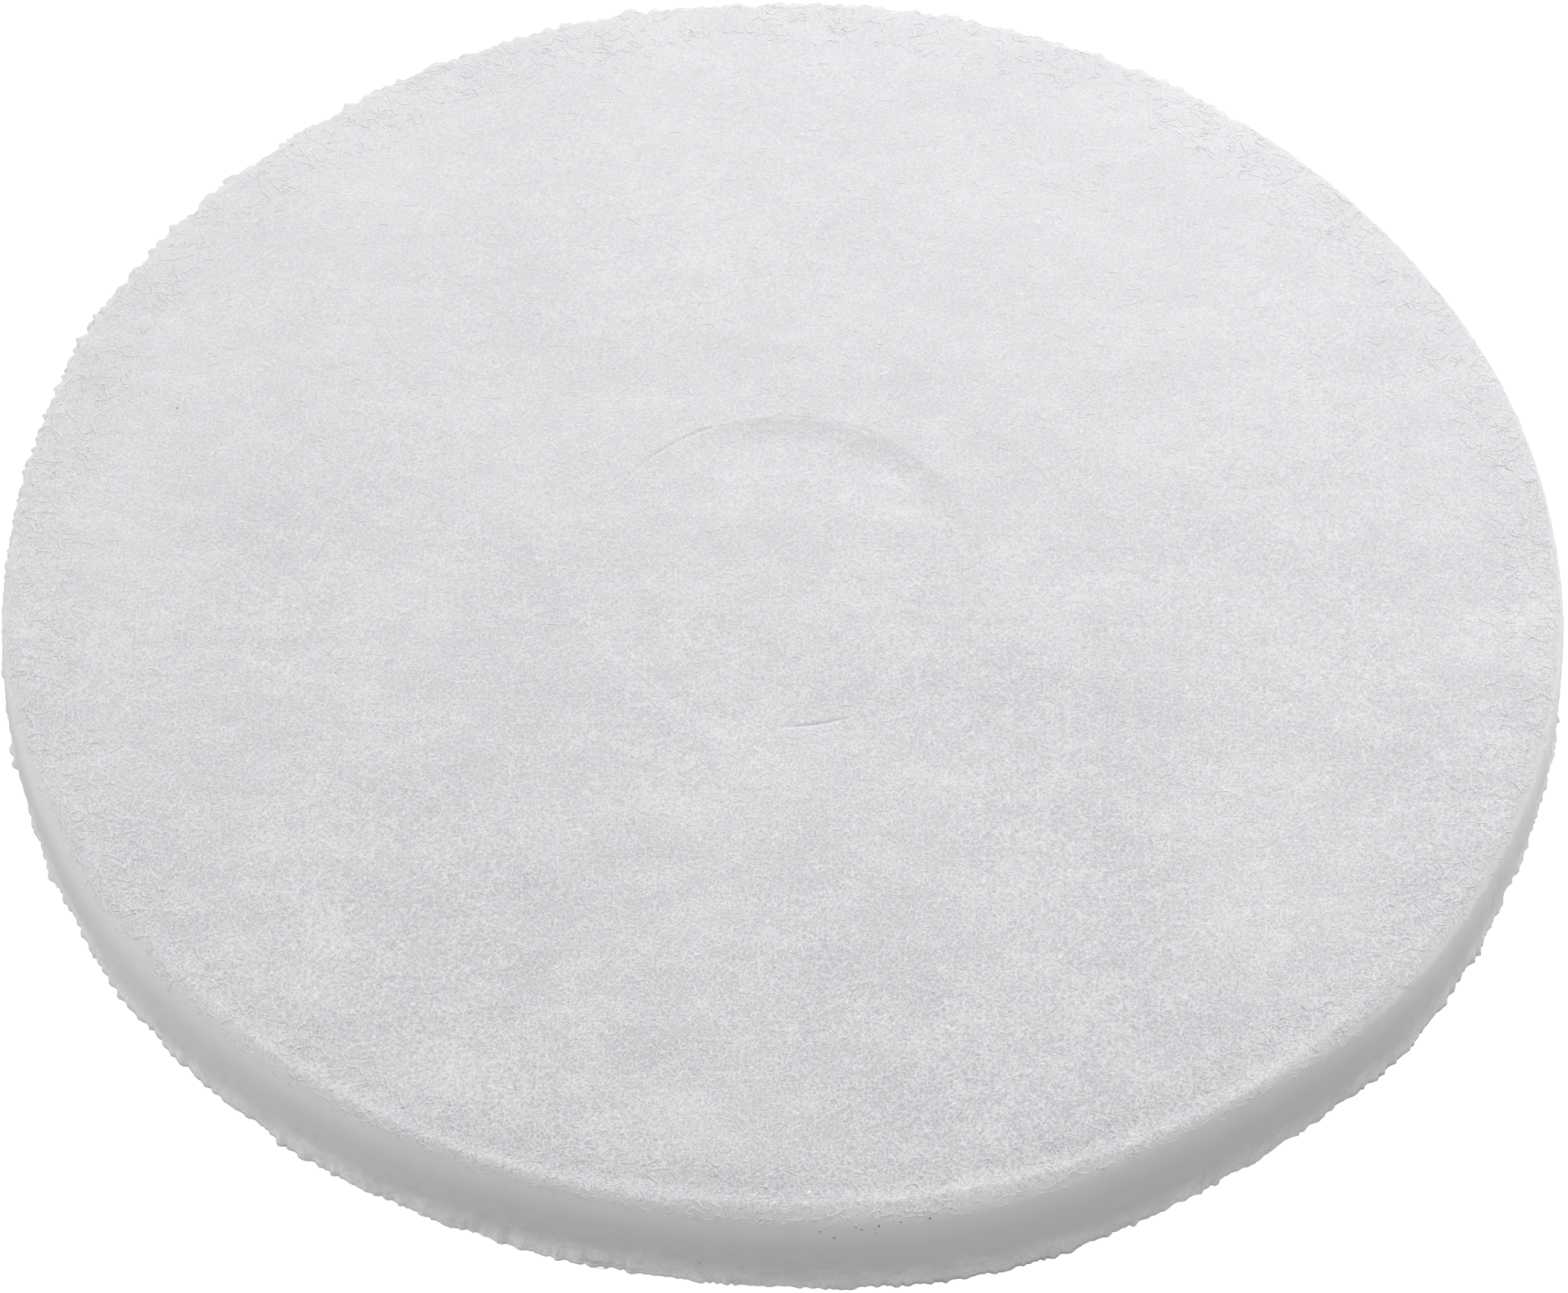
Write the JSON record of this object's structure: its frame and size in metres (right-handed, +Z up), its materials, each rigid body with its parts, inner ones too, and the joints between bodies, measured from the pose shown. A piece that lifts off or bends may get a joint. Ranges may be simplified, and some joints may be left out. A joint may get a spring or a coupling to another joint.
{
  "type": "floor polishing pad",
  "caption": "Round white polishing pad of lofty nonwoven fibre for a rotary floor machine, with a pre-cut knock-out disc in the middle.",
  "frame": {"origin": "middle of the underside, on the surface that the pad lies on", "axes": "+Z up through the thickness of the pad, +X to the right and +Y away from the front of the picture"},
  "size_m": [0.33, 0.33, 0.021],
  "materials": {
    "nonwoven_fibre": "matt white lofty nonwoven fibre"
  },
  "bodies": {
    "root": {"polishing_pad": "nonwoven_fibre"}
  },
  "joints": []
}
